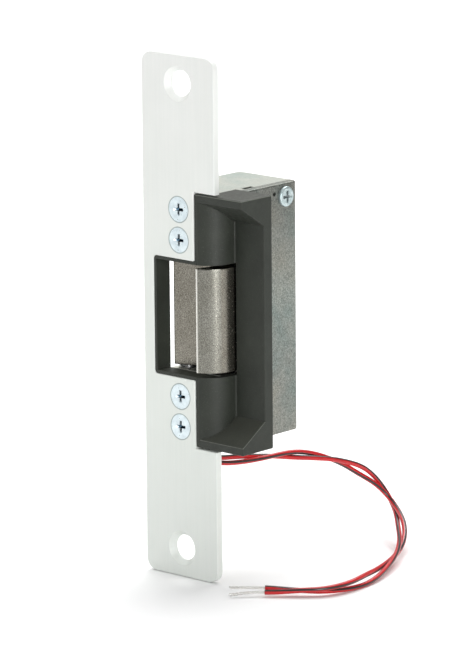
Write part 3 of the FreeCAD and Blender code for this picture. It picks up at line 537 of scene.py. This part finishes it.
def evenly(points, step):
    """The same line with points a fixed distance apart."""
    lengths = [0.0]
    for start, end in zip(points, points[1:]):
        lengths.append(lengths[-1] + (end - start).length)
    count = max(int(lengths[-1] / step), 2)
    spaced = []
    segment = 0
    for index in range(count + 1):
        wanted = lengths[-1] * index / count
        while segment < len(points) - 2 and lengths[segment + 1] < wanted:
            segment += 1
        span = lengths[segment + 1] - lengths[segment]
        share = (wanted - lengths[segment]) / span if span > 0 else 0.0
        spaced.append(points[segment].lerp(points[segment + 1], share))
    return spaced


# The direction from which the pair's crossings are laid out.
TOWARDS_VIEW = Vector((0.6573, -0.7220, 0.2159))

# The pair's turn in degrees against the share of its length: at 90 and 270 one lead is in front of the
# other. The gap is how much farther than touching each lead stands from the centre, in mm. The stripe's
# turn on each lead is in degrees.
TWIST = [(0.0, 122), (0.03, 130), (0.087, 180), (0.166, 270), (0.22, 360), (0.288, 450), (0.364, 540),
         (0.447, 630), (0.52, 720), (0.657, 810), (0.80, 900), (0.945, 990), (1.0, 1045)]
GAP = [(0.0, 0.0), (0.09, 0.08), (0.18, 0.05), (0.25, 0.05), (0.364, 0.42), (0.45, 0.05), (0.52, 0.16),
       (0.64, 0.0), (0.80, 0.48), (0.93, 0.05), (1.0, 0.0)]
STRIPE = {"a": [(0.0, -40), (0.22, -62), (0.36, -55), (0.55, 20), (0.75, -48), (0.9, 35), (1.0, 58)],
          "b": [(0.0, -60), (0.18, 28), (0.30, 48), (0.5, -40), (0.66, 12), (0.8, -58), (1.0, 50)]}


def between(table, share):
    """The value at a share of the way, in straight lines between a table's (share, value) entries."""
    for (start, low), (end, high) in zip(table, table[1:]):
        if share <= end:
            part = (share - start) / (end - start)
            return low + (high - low) * part
    return table[-1][1]


def eased(table, share):
    """The table's value averaged over a short stretch, so that it has no corners."""
    return sum(between(table, min(max(share + step * 0.006, 0.0), 1.0)) for step in range(-3, 4)) / 7


def facing_frames(points):
    """At each point the line's direction, the side that faces the view, and the third axis."""
    frames = []
    for index in range(len(points)):
        along = (points[min(index + 1, len(points) - 1)] - points[max(index - 1, 0)]).normalized()
        facing = (TOWARDS_VIEW - along * TOWARDS_VIEW.dot(along)).normalized()
        frames.append((along, facing, along.cross(facing)))
    return frames


def tube(name, points, radius, material, stripe, around=20):
    """A closed mesh tube along the points, with a UV map that runs once around it."""
    shape = bmesh.new()
    layer = shape.loops.layers.uv.new("around")
    count = len(points)
    rings = []
    for index, (point, (_, facing, other)) in enumerate(zip(points, facing_frames(points))):
        start = math.radians(eased(stripe, index / (count - 1))) - math.pi
        ring = []
        for step in range(around):
            angle = 2 * math.pi * step / around + start
            out = facing * math.cos(angle) + other * math.sin(angle)
            ring.append(shape.verts.new(point + out * radius))
        rings.append(ring)
    for index, (ring, following) in enumerate(zip(rings, rings[1:])):
        for step in range(around):
            after = (step + 1) % around
            face = shape.faces.new((ring[step], ring[after], following[after], following[step]))
            face.smooth = True
            low, high = step / around, (step + 1) / around
            corners = ((low, index), (high, index), (high, index + 1), (low, index + 1))
            for loop, (turn, row) in zip(face.loops, corners):
                loop[layer].uv = (turn, row / (count - 1))
    for cap in (shape.faces.new(list(reversed(rings[0]))), shape.faces.new(rings[-1])):
        for loop in cap.loops:
            loop[layer].uv = (0.0, 0.0)
    return finished_mesh(name, shape, material)


def finished_mesh(name, shape, material):
    mesh = bpy.data.meshes.new(name)
    shape.normal_update()
    shape.to_mesh(mesh)
    shape.free()
    mesh.materials.append(material)
    thing = bpy.data.objects.new(name, mesh)
    scene.collection.objects.link(thing)
    return thing


def smooth_step(value):
    value = min(max(value, 0.0), 1.0)
    return value * value * (3 - 2 * value)


centre = evenly(route_points(), LEAD_STEP)
centre_frames = facing_frames(centre)


def strand_points(side):
    """One lead's own line: round the pair's centre, touching the other at each crossing."""
    points = []
    for index, (point, (_, facing, other)) in enumerate(zip(centre, centre_frames)):
        share = index / (len(centre) - 1)
        angle = math.radians(eased(TWIST, share)) + (0.0 if side > 0 else math.pi)
        out = TOUCHING + 0.001 * eased(GAP, share) * math.cos(angle) ** 2
        points.append(point + (other * math.cos(angle) + facing * math.sin(angle)) * out)
    return points


def bare_strands(name, start, along, bend):
    """Seven tinned wires twisted together, bending a little on the way, uneven at the tip."""
    side = Vector((along.y, -along.x, 0)).normalized()
    other = along.cross(side)
    shape = bmesh.new()
    steps = 44
    for number in range(7):
        away = 0.0 if number == 0 else STRAND_PITCH_RADIUS
        length = BARE_LENGTH - STRAND_SHORTER * ((number * 5) % 4)
        rings = []
        for step in range(steps + 1):
            share = step / steps
            loose = 1.0 + 0.2 * smooth_step((share - 0.75) / 0.25)
            angle = 2 * math.pi * (number / 6 + share * 3.2)
            out = (side * math.cos(angle) + other * math.sin(angle)) * away * loose
            middle = start + along * (length * share) + bend * share ** 2 + out
            turns = [2 * math.pi * corner / 8 for corner in range(8)]
            spokes = [side * math.cos(turn) + other * math.sin(turn) for turn in turns]
            rings.append([shape.verts.new(middle + spoke * STRAND_RADIUS) for spoke in spokes])
        for ring, following in zip(rings, rings[1:]):
            for corner in range(8):
                after = (corner + 1) % 8
                face = shape.faces.new((ring[corner], ring[after], following[after], following[corner]))
                face.smooth = True
        shape.faces.new(list(reversed(rings[0])))
        shape.faces.new(rings[-1])
    return finished_mesh(name, shape, TINNED)


BENDS = (("a", 1, Vector((0.0, 0.0, -0.0001))), ("b", -1, Vector((0.0010, -0.0011, -0.0006))))
for letter, side, bend in BENDS:
    points = strand_points(side)
    lead = tube("lead_" + letter, points, WIRE_RADIUS, RED, STRIPE[letter])
    heading = (centre[-1] - centre[-9]).normalized()
    bare = bare_strands("bare_strands_" + letter, points[-1] - heading * STRANDS_INSIDE, heading, bend)
    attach(lead, "housing")
    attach(bare, "housing")
    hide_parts("lead_wire_" + letter)
    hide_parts("bare_end_" + letter)


# Floor, light

FLOOR_GAP = 0.0002
FLOOR_SIZE = 14.0


def make_floor():
    bpy.ops.mesh.primitive_plane_add(size=FLOOR_SIZE, location=(0.0, 0.0, cad_box[0][2] - FLOOR_GAP))
    floor = bpy.context.active_object
    floor.name = "floor"
    n = Nodes("studio_floor")
    base = n.ramp(n.noise(3, 2), [(0.3, (0.93, 0.935, 0.935)), (0.7, (0.95, 0.95, 0.95))])
    floor.data.materials.append(n.finish(base, 0.9, None, 0.0, Specular_IOR_Level=0.1))


def softbox(name, place, target, width, height, power):
    """A plain white rectangular light at a place, aimed at a target."""
    data = bpy.data.lights.new(name, "AREA")
    data.shape = "RECTANGLE"
    data.size = width
    data.size_y = height
    data.energy = power
    light = bpy.data.objects.new(name, data)
    aim = (Vector(place) - Vector(target)).to_track_quat("Z", "Y").to_matrix().to_4x4()
    light.matrix_world = Matrix.Translation(Vector(place)) @ aim
    scene.collection.objects.link(light)


def make_lights():
    world = bpy.data.worlds.new("studio")
    world.use_nodes = True
    world.node_tree.nodes["Background"].inputs["Color"].default_value = (1.0, 1.0, 1.0, 1.0)
    world.node_tree.nodes["Background"].inputs["Strength"].default_value = 0.22
    scene.world = world
    softbox("backdrop_pool", (-0.50, 0.85, 1.35), (-0.46, 0.75, -0.09), 1.5, 1.5, 40.0)
    softbox("front", (-1.255, -0.507, 0.36), (0, 0, 0), 0.60, 0.60, 5.5)
    softbox("overhead", (-0.15, -0.55, 1.10), (0, 0, 0), 0.5, 0.5, 2.6)
    softbox("side_strip", (1.263, -0.612, 0.10), (0, 0, 0), 0.14, 1.1, 19.0)


make_floor()
make_lights()
